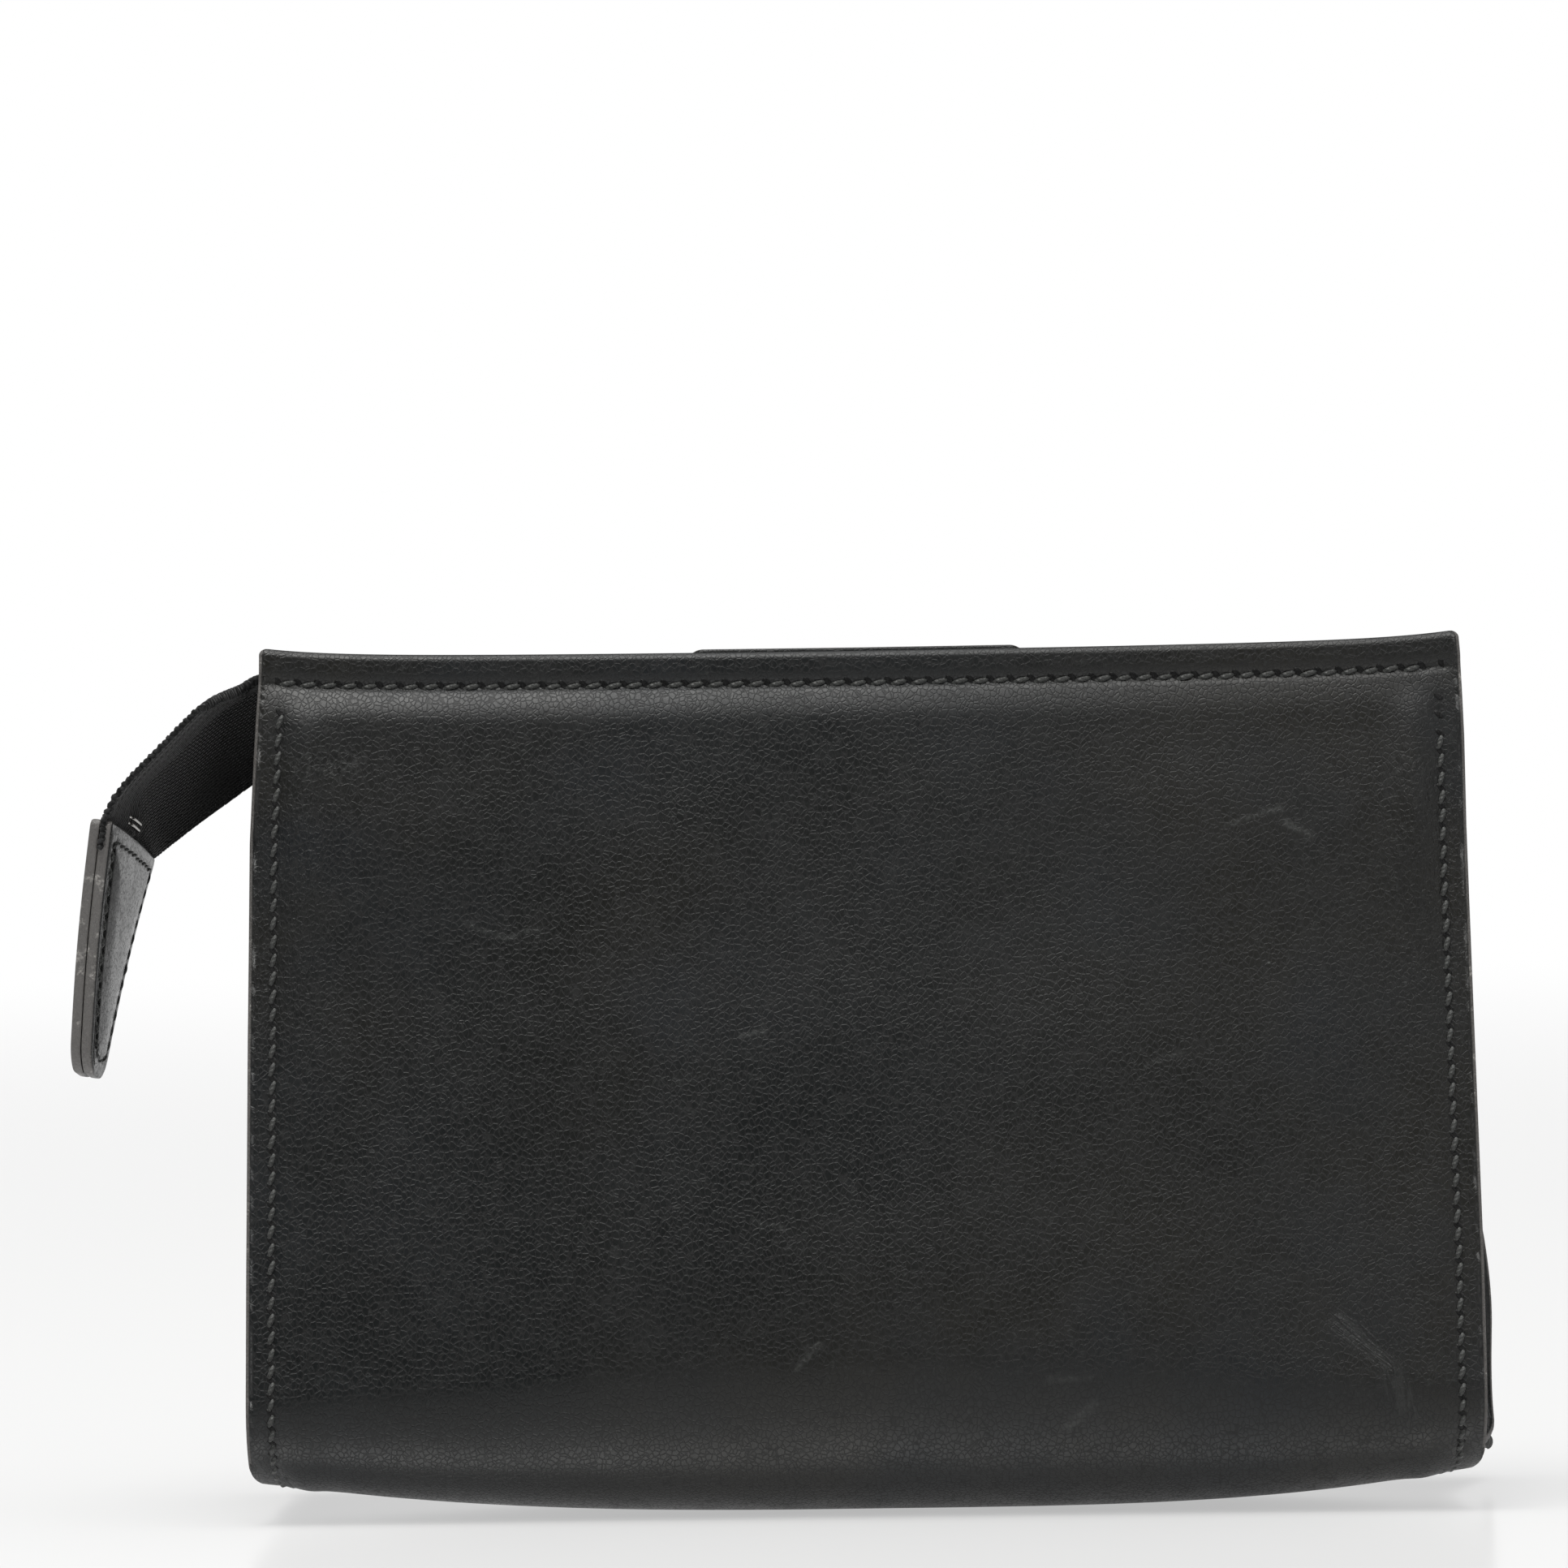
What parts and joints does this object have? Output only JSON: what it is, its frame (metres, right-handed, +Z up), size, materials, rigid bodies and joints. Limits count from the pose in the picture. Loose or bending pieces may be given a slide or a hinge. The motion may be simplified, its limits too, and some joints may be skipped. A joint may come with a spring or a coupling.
{
  "type": "makeup bag",
  "caption": "Small wedge-shaped leather pouch with folded ends, a zipped mouth and a zip tail ending in a leather tab.",
  "frame": {"origin": "centre of the flat base", "axes": "+X along the mouth towards the zip's closed end, -Y out of the front panel, +Z up"},
  "size_m": [0.1737, 0.0512, 0.1085],
  "materials": {
    "leather": "smooth grained, semi-gloss",
    "lining": "plain weave, matt",
    "tape": "woven zip tape, matt",
    "coil": "nylon",
    "metal": "polished, lightly worn",
    "thread": "waxed thread"
  },
  "bodies": {
    "bag": {"leather_wrap": "leather", "gusset_left": "leather", "gusset_right": "leather", "back_patch": "leather", "lining_wrap": "lining", "lining_gusset_left": "lining", "lining_gusset_right": "lining", "zip_tape_front": "tape", "zip_tape_back": "tape", "zip_coil_front": "coil", "zip_coil_back": "coil", "top_stop_front": "metal", "top_stop_back": "metal", "thread_top_front": "thread", "thread_top_back": "thread", "thread_side_front_left": "thread", "thread_side_front_right": "thread", "thread_side_back_left": "thread", "thread_side_back_right": "thread", "thread_patch": "thread"},
    "slider": {"slider_body": "metal", "slider_bail": "metal"},
    "puller": {"puller": "metal"},
    "tail": {"tail_tape_front": "tape", "tail_tape_back": "tape", "tail_coil": "coil", "bottom_stop": "metal"},
    "tab": {"tab_outer": "leather", "tab_inner": "leather", "tab_core": "tape", "thread_tab": "thread"}
  },
  "joints": [
    {"name": "slider_travel", "type": "slide", "parent": "bag", "child": "slider", "axis": [1, 0, 0], "range_m": [-0.116, 0]},
    {"name": "puller_flip", "type": "hinge", "parent": "slider", "child": "puller", "pos_m": [0.062, 0, 0.10625], "axis": [0, 1, 0], "range_deg": [0, 180]},
    {"name": "tail_bend", "type": "hinge", "parent": "bag", "child": "tail", "pos_m": [-0.0762, 0, 0.1029], "axis": [0, 1, 0], "range_deg": [-15, 110], "stiffness_Nm_per_rad": 0.01, "springref_deg": 2.29},
    {"name": "tab_bend", "type": "hinge", "parent": "tail", "child": "tab", "pos_m": [-0.09251, 0, 0.08769], "axis": [0, 1, 0], "range_deg": [-5, 75]}
  ]
}
